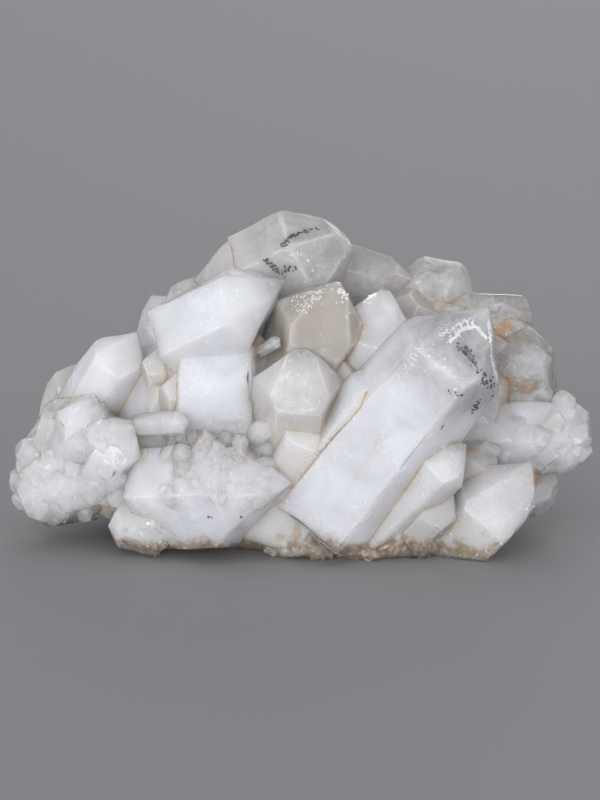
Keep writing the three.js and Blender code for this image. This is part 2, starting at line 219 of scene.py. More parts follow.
# Sugar: broken grains on the faces that a straight line from the front (side -1) or the back (side 1)
# meets first. across and up are the patch in x and z, size is a grain's mean half size, and on is
# what it may grow on.
SUGAR = dict(
    leftSlope=dict(across=(-55, -33), up=(7, 27), side=-1, count=42, size=2.6, seed=1,
                   on=("leftKnob", "leftSole", "leftFill", "leftBridge", "leftFoot", "leftStub")),
    hollow=dict(across=(-25, -6), up=(13, 26), side=-1, count=44, size=1.5, seed=2,
                on=("heart", "whiteWall", "centreFoot", "lyingPoint", "crustPointLeft",
                    "crustPointMiddle", "crustPointRight"), look=dict(warm=0.3)),
    footRidge=dict(across=(-28, 36), up=(0.5, 5), side=-1, count=60, size=1.5, seed=3,
                   on=("sole", "flake", "longFlake", "frontKnob", "footPoint", "rightFill")),
    blockFront=dict(across=(33, 56), up=(11, 27), side=-1, count=26, size=2.4, seed=4,
                    on=("rightBlock", "rightFill")),
    stainedHollow=dict(across=(34, 47), up=(25, 42), side=-1, count=18, size=1.9, seed=5,
                       on=("stainedPoint", "topRidgeEnd", "topRidge"), look=dict(milk=-1, haze=0.6)),
    backSlope=dict(across=(-45, 45), up=(2, 45), side=1, count=60, size=2.2, seed=6,
                   on=("heart", "leftHeart", "rightHeart", "leftKnob", "sole", "topRidge")),
)
# How deep a grain's middle lies under the face, as a share of its half size.
SUGAR_SINK = 0.78
SUGAR_FACES = 12
SUGAR_UNEVENNESS = 0.45

# The photograph's viewpoint: a long lens, 12 degrees above the cluster's middle.
LOOK_AT = Vector((-0.25, -0.9, 26.8)) * MM
LOOK_DOWN = math.radians(12)
CAMERA_DISTANCE = 0.427
LENS = 100
SENSOR = 36


def chance(n):
    """A repeatable number from 0 to 1 for each n."""
    x = math.sin(n * 12.9898) * 43758.5453
    return x - math.floor(x)


class Solid:
    """A convex solid as planes in millimetres, with the line from its root to its tip."""

    def __init__(self, name, planes, root, tip, thickness, row):
        self.name = name
        self.thickness = thickness
        self.milk, self.heart, self.haze, self.frame = row["milk"], row["heart"], row["haze"], row["frame"]
        self.warm, self.grain, self.seams = row["warm"], row["grain"], row.get("seams", True)
        self.normals = np.array([tuple(normal) for normal, _ in planes])
        self.distances = np.array([distance for _, distance in planes])
        self.root = np.array(root, float)
        self.tip = np.array(tip, float)
        self.length = float(np.linalg.norm(self.tip - self.root))
        self.axis = (self.tip - self.root) / self.length

    def outside(self, points):
        """How far each point is outside the solid, less than 0 inside."""
        return (points @ self.normals.T - self.distances).max(axis=1)

    def entry(self, start, direction):
        """How far along a line from start it enters the solid, or infinity where it misses."""
        steep = self.normals @ direction
        reach = (self.distances - self.normals @ start) / np.where(steep == 0, 1e-9, steep)
        into, out = reach[steep < 0].max(), reach[steep > 0].min()
        return into if into < out else math.inf

    def rim(self, point):
        """How far a point on a face is from the nearest edge of the solid."""
        second, nearest = np.sort(self.normals @ point - self.distances)[-2:]
        return nearest - second

    def height(self, points):
        """How far up each point is from the root to the tip, as a share."""
        return (points - self.root) @ self.axis / self.length


def crystal(name, row):
    """One quartz point: six prism faces, six cap faces, the buried end and any broken faces."""
    row = {**PLAIN_CRYSTAL, **row}
    tip, root, width = Vector(row["tip"]), Vector(row["root"]), row["width"]
    axis = (tip - root).normalized()
    toward_viewer = Vector((0, -1, 0))
    front = (toward_viewer - axis * toward_viewer.dot(axis)).normalized()
    lean = math.radians(row["taper"])
    shoulder = tip - axis * (width / 2 * math.tan(CAP_ANGLE))
    planes = [(-axis, -axis.dot(root))]
    for k in range(SIDES):
        out = Quaternion(axis, math.radians(row["turn"] + 360 / SIDES * k)) @ front
        face = out * math.cos(lean) + axis * math.sin(lean)
        planes.append((face, face.dot(shoulder + out * (row["sides"][k] * width / 2))))
        cap = out * math.sin(CAP_ANGLE) + axis * math.cos(CAP_ANGLE)
        planes.append((cap, cap.dot(tip + axis * row["caps"][k])))
    for normal, beyond in row["cuts"]:
        out = Vector(normal).normalized()
        planes.append((out, out.dot(tip) + beyond))
    return Solid(name, planes, root, tip, width / 2 * min(row["sides"]), row)


def lump(name, row, faces=LUMP_FACES):
    """A lump with flat broken faces, spread evenly over directions and set at uneven distances."""
    middle = Vector(row["middle"])
    planes = []
    for k in range(faces):
        height = 1 - (2 * k + 1) / faces
        angle = k * GOLDEN_ANGLE + row["seed"]
        flat = math.sqrt(1 - height * height)
        normal = Vector((flat * math.cos(angle), flat * math.sin(angle), height))
        reach = Vector(a * b for a, b in zip(row["half"], normal)).length
        rough = 1 - LUMP_ROUGHNESS * chance(row["seed"] * 31 + k)
        planes.append((normal, normal.dot(middle) + reach * rough))
    half_height = Vector((0, 0, row["half"][2]))
    look = {**PLAIN_LUMP, **row}
    return Solid(name, planes, middle - half_height, middle + half_height, min(row["half"]) * 0.8, look)


def crust(name, row):
    """A crust of small points scattered over a patch, all leaning roughly the same way."""
    points = []
    for i in range(row["count"]):
        def draw(n):
            return chance(row["seed"] * 97 + i * 7 + n) * 2 - 1

        offset = Vector((draw(1) * row["spread"][0], draw(2) * row["spread"][1], draw(3) * row["spread"][2]))
        tip = Vector(row["middle"]) + offset
        splay = Vector((draw(4), draw(5), draw(6))) * CRUST_SPLAY
        axis = (Vector(row["lean"]).normalized() + splay).normalized()
        width = row["width"] * (1 + CRUST_UNEVENNESS * draw(0))
        root = tip - axis * width * CRUST_LENGTH
        turn = 360 / SIDES * chance(row["seed"] + i)
        points.append(crystal(name + str(i), dict(tip=tip, root=root, width=width, turn=turn, warm=0.5,
                                                  grain=0.5, seams=False)))
    return points


def first_met(solids, x, z, side):
    """The point where a level line from the front or the back first meets a solid, and that solid."""
    start, direction = np.array((x, side * 100, z)), np.array((0, -side, 0))
    distance, k = min((solid.entry(start, direction), k) for k, solid in enumerate(solids))
    return (None, None) if distance == math.inf else (start + direction * distance, solids[k])


def patch(solids, row, salt):
    """Random points on the solids that row["on"] names, inside the row's patch, each with its solid."""
    for i in range(row["count"]):
        x, z = (low + (high - low) * chance(row["seed"] * salt + i * 2 + n)
                for n, (low, high) in enumerate((row["across"], row["up"])))
        point, owner = first_met(solids, x, z, row["side"])
        if owner and owner.name in row["on"]:
            yield i, point, owner


def sugar(name, row, solids):
    """Broken grains half sunk in the faces that they grow on."""
    grains = []
    for i, point, _ in patch(solids, row, 53):
        def draw(n):
            return 1 + SUGAR_UNEVENNESS * (chance(row["seed"] * 19 + i * 5 + n) * 2 - 1)

        half = np.array([row["size"] * draw(n) for n in range(3)])
        middle = point - np.array((0, row["side"] * half[1] * SUGAR_SINK, 0))
        grain = dict(middle=middle, half=half, seed=i, seams=False, **row.get("look", {}))
        grains.append(lump(name + str(i), grain, SUGAR_FACES))
    return grains


def all_solids():
    """Every lump and crystal, in the order in which they are joined."""
    solids = [lump(name, row) for name, row in LUMPS.items()]
    solids += [crystal(name, row) for name, row in CRYSTALS.items()]
    for name, row in CRUSTS.items():
        solids += crust(name, row)
    grown = list(solids)
    for name, row in SUGAR.items():
        solids += sugar(name, row, grown)
    return solids


def deselect_all():
    if bpy.context.object and bpy.context.object.mode != "OBJECT":
        bpy.ops.object.mode_set(mode="OBJECT")
    bpy.ops.object.select_all(action="DESELECT")


def activate(piece):
    deselect_all()
    piece.select_set(True)
    bpy.context.view_layer.objects.active = piece


# Solids thinner than this many millimetres keep sharp edges.
SHARP_UNDER = 2.4


def cut_crystal(solid, inset, top, rounding):
    """A six-sided prism cut face by face to the solid's planes, each moved in by inset.

    top is the share of the length at which the crystal ends, and rounding the width of its edges.
    """
    deselect_all()
    middle = Vector((solid.root + solid.tip) / 2) * MM
    reach = solid.length * MM + 0.03
    turn = Vector(solid.axis).to_track_quat("Z", "Y").to_euler()
    bpy.ops.mesh.primitive_cylinder_add(vertices=SIDES, radius=reach, depth=2 * reach,
                                        location=middle, rotation=turn)
    piece = bpy.context.object
    piece.name = solid.name
    bpy.ops.object.mode_set(mode="EDIT")
    for normal, distance in zip(solid.normals, solid.distances):
        bpy.ops.mesh.select_all(action="SELECT")
        bpy.ops.mesh.bisect(plane_co=normal * (distance - inset) * MM, plane_no=normal,
                            use_fill=True, clear_outer=True)
    if top < 1:
        end = solid.root + solid.axis * solid.length * top
        bpy.ops.mesh.select_all(action="SELECT")
        bpy.ops.mesh.bisect(plane_co=end * MM, plane_no=solid.axis, use_fill=True, clear_outer=True)
    if solid.thickness > SHARP_UNDER:
        bpy.ops.mesh.select_all(action="SELECT")
        bpy.ops.mesh.bevel(offset=rounding * MM, segments=2, profile=0.6, affect="EDGES",
                           clamp_overlap=True)
    bpy.ops.mesh.select_all(action="SELECT")
    bpy.ops.mesh.quads_convert_to_tris()
    bpy.ops.object.mode_set(mode="OBJECT")
    bpy.ops.object.transform_apply(location=True, rotation=True, scale=True)
    return piece


def combine(whole, others, operation):
    """Joins the others to whole or cuts them away, and removes them."""
    cutters = bpy.data.collections.new("cutters")
    bpy.context.scene.collection.children.link(cutters)
    for other in others:
        cutters.objects.link(other)
    activate(whole)
    step = whole.modifiers.new("combine", "BOOLEAN")
    step.operation = operation
    step.solver = "MANIFOLD"
    step.operand_type = "COLLECTION"
    step.collection = cutters
    bpy.ops.object.modifier_apply(modifier=step.name)
    for other in others:
        bpy.data.objects.remove(other)
    bpy.data.collections.remove(cutters)


def cut_off_ground(whole, ground):
    """Cuts the piece off flat at that many millimetres over the surface that it stands on."""
    deselect_all()
    bpy.ops.mesh.primitive_cube_add(size=0.4, location=(0, 0, ground * MM - 0.2))
    combine(whole, [bpy.context.object], "DIFFERENCE")


def keep_outer_shell(whole):
    """Removes the pockets that crossing crystals enclose."""
    activate(whole)
    bpy.ops.object.mode_set(mode="EDIT")
    bpy.ops.mesh.select_all(action="DESELECT")
    mesh = bmesh.from_edit_mesh(whole.data)
    max(mesh.verts, key=lambda v: v.co.z).select = True
    mesh.select_flush(True)
    bpy.ops.mesh.select_linked()
    bpy.ops.mesh.select_all(action="INVERT")
    bpy.ops.mesh.delete(type="VERT")
    bpy.ops.object.mode_set(mode="OBJECT")


def refine(piece, longest):
    """Splits every edge that is longer than longest, in metres, until none is left."""
    activate(piece)
    bpy.ops.object.mode_set(mode="EDIT")
    bpy.ops.mesh.select_mode(type="EDGE")
    for _ in range(12):
        bpy.ops.mesh.select_all(action="SELECT")
        bpy.ops.mesh.quads_convert_to_tris(quad_method="BEAUTY", ngon_method="BEAUTY")
        bpy.ops.mesh.select_all(action="DESELECT")
        mesh = bmesh.from_edit_mesh(piece.data)
        long_edges = [edge for edge in mesh.edges if edge.calc_length() > longest]
        if not long_edges:
            break
        for edge in long_edges:
            edge.select = True
        bmesh.update_edit_mesh(piece.data)
        bpy.ops.mesh.subdivide(number_cuts=1)
    bpy.ops.mesh.select_mode(type="VERT")
    bpy.ops.object.mode_set(mode="OBJECT")


def points_of(piece):
    """The piece's vertices, in metres, as an array."""
    points = np.empty(len(piece.data.vertices) * 3)
    piece.data.vertices.foreach_get("co", points)
    return points.reshape(-1, 3)


def normals_of(piece):
    normals = np.empty(len(piece.data.vertices) * 3)
    piece.data.vertices.foreach_get("normal", normals)
    return normals.reshape(-1, 3)


def move_points(piece, points):
    piece.data.vertices.foreach_set("co", points.ravel())
    piece.data.update()


def write_attribute(piece, name, values):
    layer = piece.data.attributes.new(name, "FLOAT", "POINT")
    layer.data.foreach_set("value", values.astype(np.float32))


def smooth_step(low, high, values):
    t = np.clip((values - low) / (high - low), 0, 1)
    return t * t * (3 - 2 * t)


# The unevenness of every face: how wide its waves are and how deep, in millimetres.
WAVES = ((13, 0.8), (5.5, 0.35))


def waviness(points, waves):
    """How far noise moves each point out of its face, in the same unit as the points."""
    shift = np.zeros(len(points))
    for size, depth in waves:
        shift += depth * MM * np.array([noise.noise(Vector(p)) for p in points / (size * MM)])
    return shift


def roughen(piece, ripple, keep_flat=True):
    """Moves each vertex along its normal by the waves and a ripple of that depth in millimetres."""
    points, normals = points_of(piece), normals_of(piece)
    shift = waviness(points, (*WAVES, (2.4, ripple)))
    if keep_flat:
        shift *= smooth_step(0, 0.6 * MM, points[:, 2])
    move_points(piece, points + normals * shift[:, None])


# Distances to seams and edges are kept up to this many millimetres, and faces nearer to parallel
# than this have no seam.
FAR = 5
SAME_FACE = 0.8


def depth_under(solid, inset):
    """How far a layer lies under the solid's faces, which is less in a thin one."""
    return min(inset, 0.15 * solid.thickness) if inset < 1 else inset


def describe(piece, solids, offset, inset):
    """Writes what the materials need to know at each vertex of the piece.

    along   millimetres from the crystal's tip, down its axis
    clear   from 0 where the crystal is milky up to 1, less its haze, where it is clear
    gap     millimetres to the seam with the next crystal
    rim     distance to the nearest edge of the crystal, as a share of the width of its frame
    own     a number from 0 to 1 for each crystal
    warm    how beige the crystal is
    grain   how broken its surface is
    """
    points = points_of(piece) / MM - offset
    outside = np.stack([solid.outside(points) + depth_under(solid, inset) for solid in solids])
    owner = np.abs(outside).argmin(axis=0)
    values = {key: np.zeros(len(points)) for key in ("along", "clear", "rim", "own", "warm", "grain")}
    facing = np.zeros((len(points), 3))
    for k, solid in enumerate(solids):
        mine = owner == k
        if not mine.any():
            continue
        height = solid.height(points[mine])
        depths = points[mine] @ solid.normals.T - solid.distances + depth_under(solid, inset)
        facing[mine] = solid.normals[depths.argmax(axis=1)]
        values["along"][mine] = (1 - height) * solid.length
        values["clear"][mine] = smooth_step(solid.milk - 0.2, solid.milk + 0.15, height) * (1 - solid.haze)
        second, nearest = np.partition(depths, -2, axis=1)[:, -2:].T
        values["rim"][mine] = np.minimum(nearest - second, FAR) / solid.frame
        values["own"][mine] = chance(k + 0.5)
        values["warm"][mine] = solid.warm
        values["grain"][mine] = solid.grain
    gap = np.full(len(points), float(FAR))
    outside -= outside[owner, np.arange(len(points))]
    seamed = np.array([solid.seams for solid in solids])[owner]
    for k, solid in enumerate(solids):
        near = np.flatnonzero((outside[k] < FAR) & (owner != k) & solid.seams & seamed)
        planes = (points[near] @ solid.normals.T - solid.distances).argmax(axis=1)
        crossing = (solid.normals[planes] * facing[near]).sum(axis=1) < SAME_FACE
        near = near[crossing]
        gap[near] = np.minimum(gap[near], np.clip(outside[k][near], 0, None))
    values["gap"] = gap
    for key, value in values.items():
        write_attribute(piece, key, value)


def grow(name, solids, inset, tops, rounding, longest, ground=0):
    """Cuts every solid that is thick enough, joins them, cuts them off level and refines."""
    whole, *others = [cut_crystal(solid, depth_under(solid, inset), top, rounding)
                      for solid, top in zip(solids, tops) if solid.thickness > inset + rounding]
    combine(whole, others, "UNION")
    cut_off_ground(whole, ground)
    whole.name = name
    whole.data.name = name
    refine(whole, longest * MM)
    return whole


def centre_of(piece):
    """The middle of the piece's box in millimetres, over the ground."""
    points = points_of(piece) / MM
    middle = (points.min(axis=0) + points.max(axis=0)) / 2
    middle[2] = 0
    return middle


# Materials

# The share of light that a clean face lets through, quartz's refractive index, and how far light
# spreads in the milk, in metres, and in each colour.
CLEARNESS = 0.92
QUARTZ_IOR = 1.544
GLOW_REACH = 0.012
GLOW_TINT = (1.0, 0.98, 0.96)


class Tree:
    """Adds nodes to a material or group, one call each, and links them by name."""

    def __init__(self, tree):
        self.tree = tree

    def add(self, kind, inputs=None, **settings):
        node = self.tree.nodes.new(kind)
        for key, value in settings.items():
            setattr(node, key, value)
        for key, value in (inputs or {}).items():
            if isinstance(value, bpy.types.NodeSocket):
                self.tree.links.new(value, node.inputs[key])
            else:
                node.inputs[key].default_value = value
        return node

    def maths(self, operation, a, b=0.5, c=0.5):
        return self.add("ShaderNodeMath", {0: a, 1: b, 2: c}, operation=operation).outputs[0]

    def span(self, value, low, high, new_low=0, new_high=1):
        node = self.add("ShaderNodeMapRange", {"Value": value, "From Min": low, "From Max": high,
                                               "To Min": new_low, "To Max": new_high},
                        interpolation_type="SMOOTHSTEP")
        return node.outputs["Result"]

    def noise(self, place, scale, detail=3, roughness=0.55, distortion=0):
        node = self.add("ShaderNodeTexNoise", {"Vector": place, "Scale": scale, "Detail": detail,
                                               "Roughness": roughness, "Distortion": distortion})
        return node.outputs["Fac"]

    def colour_mix(self, share, a, b, blend="MIX"):
        node = self.add("ShaderNodeMix", data_type="RGBA", blend_type=blend)
        for socket, value in ((node.inputs[0], share), (node.inputs[6], a), (node.inputs[7], b)):
            if isinstance(value, bpy.types.NodeSocket):
                self.tree.links.new(value, socket)
            else:
                socket.default_value = value
        return node.outputs[2]

    def attribute(self, name):
        return self.add("ShaderNodeAttribute", attribute_name=name).outputs["Fac"]


def group(name, inputs, outputs):
    """An empty shader node group with its sockets: name to type and default."""
    tree = bpy.data.node_groups.new(name, "ShaderNodeTree")
    for key, (kind, value) in inputs.items():
        socket = tree.interface.new_socket(key, in_out="INPUT", socket_type="NodeSocket" + kind)
        socket.default_value = value
    for key, kind in outputs.items():
        tree.interface.new_socket(key, in_out="OUTPUT", socket_type="NodeSocket" + kind)
    nodes = Tree(tree)
    return tree, nodes, tree.nodes.new("NodeGroupInput"), tree.nodes.new("NodeGroupOutput")


# Rust in hollows: the middle and how wide it is, in millimetres.
ORANGE_POCKETS = (
    ((39.2, 2.6, 40), 4.4), ((39.6, -1.8, 30.7), 3.2), ((43.2, -1.5, 29.7), 2.6), ((31.1, -12.6, 19.3), 3),
    ((45, -2.8, 12), 3), ((24.8, 4, 46), 1.8), ((38, 14, 34), 6),
)
BROWN_POCKETS = (
    ((-9.2, -13.6, 40.4), 3), ((-8.8, -12.5, 38), 3), ((-34, -12, 7), 3.5), ((4, -19, 24.5), 3),
    ((-30, 16, 22), 5), ((5, 22, 20), 5),
    ((-2, 24, 34), 4), ((24, 20, 8), 7), ((-18, -19, 23), 3),
)


def pocket_mask(t, place, pockets):
    """1 in the middle of any of the pockets, falling to 0 at its rim."""
    mask = None
    for middle, radius in pockets:
        gap = t.add("ShaderNodeVectorMath", {0: place, 1: Vector(middle) * MM}, operation="DISTANCE")
        near = t.span(gap.outputs["Value"], radius * MM, 0.3 * radius * MM)
        mask = near if mask is None else t.maths("MAXIMUM", mask, near)
    return mask


def stain_group():
    """Rust: where it lies, in the seams, on the underside and in a few pockets, and its colour."""
    colours = bpy.context.scene.quartz_colours
    tree, t, given, out = group("Rust", {"Gap": ("Float", 5.0)}, {"Mask": "Float", "Color": "Color"})
    place = t.add("ShaderNodeTexCoord").outputs["Object"]
    patches = t.noise(place, 85, 4, 0.6)
    grain = t.noise(place, 900, 3, 0.7)
    width = t.span(patches, 0.38, 0.62, 0.02, 0.34)
    line = t.maths("SUBTRACT", width, t.maths("MULTIPLY_ADD", grain, 0.3, given.outputs["Gap"]))
    line = t.maths("MULTIPLY", t.span(line, -0.35, 0.15), 0.6)
    height = t.add("ShaderNodeSeparateXYZ", {0: place}).outputs["Z"]
    ragged = t.maths("MULTIPLY_ADD", t.noise(place, 130, 5, 0.7), -0.014, height)
    low = t.maths("MULTIPLY", t.span(ragged, -0.0018, -0.0045), t.span(grain, 0.35, 0.6, 0.35, 1))
    ragged_pockets = t.span(t.noise(place, 260, 4, 0.65), 0.38, 0.6)
    orange = t.maths("MULTIPLY", pocket_mask(t, place, ORANGE_POCKETS), ragged_pockets)
    brown = t.maths("MULTIPLY", pocket_mask(t, place, BROWN_POCKETS), ragged_pockets)
    pockets = t.maths("MULTIPLY", t.maths("MAXIMUM", orange, brown), 0.75)
    mask = t.maths("MAXIMUM", line, t.maths("MAXIMUM", low, pockets))
    tree.links.new(mask, out.inputs["Mask"])
    tone = t.colour_mix(t.span(grain, 0.4, 0.65), (*colours.rust, 1), (*colours.dark_rust, 1))
    tone = t.colour_mix(t.span(line, 0.1, 0.6), tone, (*colours.seam_rust, 1))
    tone = t.colour_mix(low, tone, (*colours.dark_rust, 1))
    tree.links.new(t.colour_mix(orange, tone, (*colours.orange_rust, 1)), out.inputs["Color"])
    return tree


def relief_group():
    """The faces: growth lines across the axis, ripples, pits, and grains that tilt at random."""
    tree, t, given, out = group("Crystal faces", {"Along": ("Float", 0.0), "Own": ("Float", 0.0),
                                                  "Clear": ("Float", 0.0), "Grain": ("Float", 0.0)},
                                {"Normal": "Vector", "Gloss loss": "Float"})
    place = t.add("ShaderNodeTexCoord").outputs["Object"]
    wander = t.maths("MULTIPLY", t.noise(place, 140, 3), 2.2)
    line_place = t.maths("ADD", given.outputs["Along"], wander)
    line_place = t.maths("ADD", line_place, t.maths("MULTIPLY", given.outputs["Own"], 37))
    line_place = t.add("ShaderNodeCombineXYZ", {"X": line_place, "Y": given.outputs["Own"]})
    lines = t.noise(line_place.outputs[0], 2.2, 5, 0.7)
    lines = t.maths("MULTIPLY", lines, t.span(t.noise(place, 75, 2), 0.42, 0.6))
    ripples = t.noise(place, 330, 4, 0.6, 0.4)
    swell = t.noise(place, 120, 2, 0.5)
    cells = t.add("ShaderNodeTexVoronoi", {"Vector": place, "Scale": 800})
    pits = t.span(cells.outputs["Distance"], 0.1, 0.28)
    pits = t.maths("MAXIMUM", pits, t.span(t.noise(place, 160, 3), 0.36, 0.56))
    height = t.maths("MULTIPLY_ADD", lines, 0.7, t.maths("MULTIPLY", ripples, 0.5))
    height = t.maths("MULTIPLY_ADD", swell, 1.6, height)
    height = t.maths("MULTIPLY_ADD", pits, 0.08, height)
    height_up = t.add("ShaderNodeSeparateXYZ", {0: place}).outputs["Z"]
    grain = t.maths("MAXIMUM", given.outputs["Grain"], t.span(height_up, 0.006, 0.002, 0, 0.7))
    normal = t.add("ShaderNodeNewGeometry").outputs["Normal"]
    for scale, tilt in ((230, 0.5), (700, 0.9)):
        cells = t.add("ShaderNodeTexVoronoi", {"Vector": place, "Scale": scale})
        lean = t.add("ShaderNodeVectorMath", {0: cells.outputs["Color"], 1: (0.5, 0.5, 0.5)},
                     operation="SUBTRACT")
        amount = t.maths("MULTIPLY", grain, tilt)
        lean = t.add("ShaderNodeVectorMath", {0: lean.outputs[0], "Scale": amount}, operation="SCALE")
        normal = t.add("ShaderNodeVectorMath", {0: normal, 1: lean.outputs[0]}, operation="ADD").outputs[0]
    normal = t.add("ShaderNodeVectorMath", {0: normal}, operation="NORMALIZE").outputs[0]
    bump = t.add("ShaderNodeBump", {"Height": height, "Strength": 0.6, "Distance": 0.35 * MM,
                                    "Normal": normal})
    tree.links.new(bump.outputs[0], out.inputs["Normal"])
    frosted = t.span(t.noise(place, 150, 5, 0.7), 0.25, 0.8)
    frosted = t.maths("MULTIPLY", frosted, t.maths("SUBTRACT", 1.1, given.outputs["Clear"]))
    frosted = t.maths("MULTIPLY", frosted, t.maths("MULTIPLY_ADD", grain, -0.7, 1))
    frosted = t.maths("MAXIMUM", frosted, t.maths("MULTIPLY_ADD", pits, -0.4, 0.4))
    tree.links.new(frosted, out.inputs["Gloss loss"])
    return tree


def milk_group():
    """How thick the milk is, from the roots to wisps in the tips, and how white it is."""
    tree, t, given, out = group("Milk", {"Clear": ("Float", 0.0), "Rim": ("Float", 5.0),
                                         "Gap": ("Float", 5.0), "Grain": ("Float", 0.0)},
                                {"Alpha": "Float", "Whiteness": "Float", "Border": "Float", "Edge": "Float",
                                 "Stain": "Float"})
    place = t.add("ShaderNodeTexCoord").outputs["Object"]
    clear = given.outputs["Clear"]
    clouds = t.noise(place, 110, 5, 0.6, 0.6)
    wisps = t.noise(place, 420, 5, 0.7, 1.5)
    crumbs = t.noise(place, 750, 3, 0.7)
    thin = t.maths("SUBTRACT", wisps, 0.5)
    # White borders along the edges of the clear parts: partly white milk, partly painted highlight where the
    # edges catch light.
    edge = t.span(t.maths("MULTIPLY_ADD", thin, 0.5, given.outputs["Rim"]), 0.16, 0.02)
    edge = t.maths("MULTIPLY", edge, t.span(t.noise(place, 60, 3), 0.42, 0.6, 0.15, 1))
    edge = t.maths("MULTIPLY", edge, t.span(clear, 0, 0.4, 0.35, 1))
    cover = t.maths("MULTIPLY_ADD", clear, -1, 1.12)
    cover = t.maths("MULTIPLY_ADD", t.maths("SUBTRACT", clouds, 0.5), t.maths("MULTIPLY", clear, 1.6), cover)
    cover = t.maths("MULTIPLY_ADD", thin, t.maths("MULTIPLY", clear, 0.9), cover)
    alpha = t.maths("MAXIMUM", t.span(cover, 0, 1), t.maths("MULTIPLY", edge, 0.75))
    tree.links.new(alpha, out.inputs["Alpha"])
    white = t.maths("MULTIPLY_ADD", t.maths("SUBTRACT", crumbs, 0.5), given.outputs["Grain"], clouds)
    tree.links.new(t.span(white, 0.3, 0.68), out.inputs["Whiteness"])
    ragged_gap = t.maths("MULTIPLY_ADD", t.maths("SUBTRACT", clouds, 0.5), 3, given.outputs["Gap"])
    tree.links.new(t.span(ragged_gap, 2.6, 0.2), out.inputs["Border"])
    tree.links.new(edge, out.inputs["Edge"])
    tree.links.new(t.span(t.noise(place, 95, 4, 0.6), 0.46, 0.66, 0, 0.5), out.inputs["Stain"])
    return tree


def new_material(name):
    material = bpy.data.materials.new(name)
    material.use_nodes = True
    t = Tree(material.node_tree)
    return material, t, material.node_tree.nodes["Principled BSDF"]


def give_material(piece, material):
    """Replaces the slots that joining leaves on a piece."""
    piece.data.materials.clear()
    piece.data.materials.append(material)


def use_group(t, tree, **inputs):
    node = t.add("ShaderNodeGroup", node_tree=tree)
    for key, value in inputs.items():
        t.tree.links.new(value, node.inputs[key])
    return node.outputs


def clear_quartz(relief, stain):
    """The clear skin: smooth glass with fine relief, frosted in places and tinted by rust."""
    sizes, colours = bpy.context.scene.quartz_sizes, bpy.context.scene.quartz_colours
    material, t, bsdf = new_material("Clear quartz")
    bsdf.inputs["Transmission Weight"].default_value = CLEARNESS
    bsdf.inputs["IOR"].default_value = QUARTZ_IOR
    faces = use_group(t, relief, Along=t.attribute("along"), Own=t.attribute("own"),
                      Clear=t.attribute("clear"), Grain=t.attribute("grain"))
    rust = use_group(t, stain, Gap=t.attribute("gap"))
    tint = t.colour_mix(t.attribute("warm"), (*colours.clear, 1), (*colours.beige, 1))
    tint = t.colour_mix(t.maths("MULTIPLY", rust["Mask"], 0.4), tint, rust["Color"])
    t.tree.links.new(tint, bsdf.inputs["Base Color"])
    roughness = t.span(faces["Gloss loss"], 0, 1, sizes.gloss, sizes.frost)
    roughness = t.maths("MAXIMUM", roughness, t.maths("MULTIPLY", rust["Mask"], 0.6))
    t.tree.links.new(roughness, bsdf.inputs["Roughness"])
    t.tree.links.new(faces["Normal"], bsdf.inputs["Normal"])
    return material


def milky_quartz(name, milk, stain, veiled, glow):
    """The white inside: soft, lit from within, thinning out towards the tips."""
    colours = bpy.context.scene.quartz_colours
    material, t, bsdf = new_material(name)
    bsdf.inputs["Subsurface Weight"].default_value = glow
    bsdf.inputs["Subsurface Radius"].default_value = GLOW_TINT
    bsdf.inputs["Subsurface Scale"].default_value = GLOW_REACH
    bsdf.inputs["Roughness"].default_value = 0.6
    bsdf.inputs["Specular IOR Level"].default_value = 0.1
    clouds = use_group(t, milk, Clear=t.attribute("clear"), Rim=t.attribute("rim"), Gap=t.attribute("gap"),
                       Grain=t.attribute("grain"))
    rust = use_group(t, stain, Gap=t.attribute("gap"))
    white = t.colour_mix(clouds["Whiteness"], (*colours.grey_milk, 1), (*colours.milk, 1))
    stains = t.maths("MULTIPLY", t.attribute("grain"), clouds["Stain"])
    warmth = t.maths("ADD", t.attribute("warm"), stains)
    warmth = t.maths("MAXIMUM", warmth, t.maths("MULTIPLY", t.attribute("clear"), 0.65))
    white = t.colour_mix(warmth, white, (*colours.beige_milk, 1))
    white = t.colour_mix(t.maths("MULTIPLY", clouds["Border"], 0.6), white, (*colours.seam_milk, 1))
    # Partly painted highlight: the edges of the clear parts are whitened.
    white = t.colour_mix(t.maths("MULTIPLY", clouds["Edge"], 0.7), white, (*colours.bright_edge_and_highlight, 1))
    tint = t.colour_mix(rust["Mask"], white, rust["Color"])
    t.tree.links.new(tint, bsdf.inputs["Base Color"])
    if veiled:
        t.tree.links.new(clouds["Alpha"], bsdf.inputs["Alpha"])
    return material


def flake_material(name, light, dark):
    """Small chips, each patch a little lighter or darker than the next."""
    material, t, bsdf = new_material(name)
    place = t.add("ShaderNodeTexCoord").outputs["Object"]
    tone = t.span(t.noise(place, 700, 2), 0.35, 0.65)
    t.tree.links.new(t.colour_mix(tone, (*dark, 1), (*light, 1)), bsdf.inputs["Base Color"])
    bsdf.inputs["Roughness"].default_value = 0.3
    return material


def floor_material():
    colours = bpy.context.scene.quartz_colours
    material, t, bsdf = new_material("Pale floor")
    bsdf.inputs["Base Color"].default_value = (*colours.floor, 1)
    bsdf.inputs["Roughness"].default_value = 0.75
    return material


# Sizes and colours that a user would change


class QuartzSizes(bpy.types.PropertyGroup):
    edge: FloatProperty(name="Edge rounding", description="Width of the worn edges, in millimetres",
                        default=0.16, min=0.02, max=1)
    longest: FloatProperty(name="Mesh edge", description="Longest mesh edge of the skin, in millimetres",
                           default=2, min=0.4, max=5)
    gloss: FloatProperty(name="Gloss", description="Roughness of the clean faces", default=0.03, min=0, max=1)
    frost: FloatProperty(name="Frost", description="Roughness of the frosted faces", default=0.36, min=0, max=1)
    flakes: FloatProperty(name="Flakes", description="Share of the bright flakes that is made",
                          default=1, min=0, max=1, subtype="FACTOR")


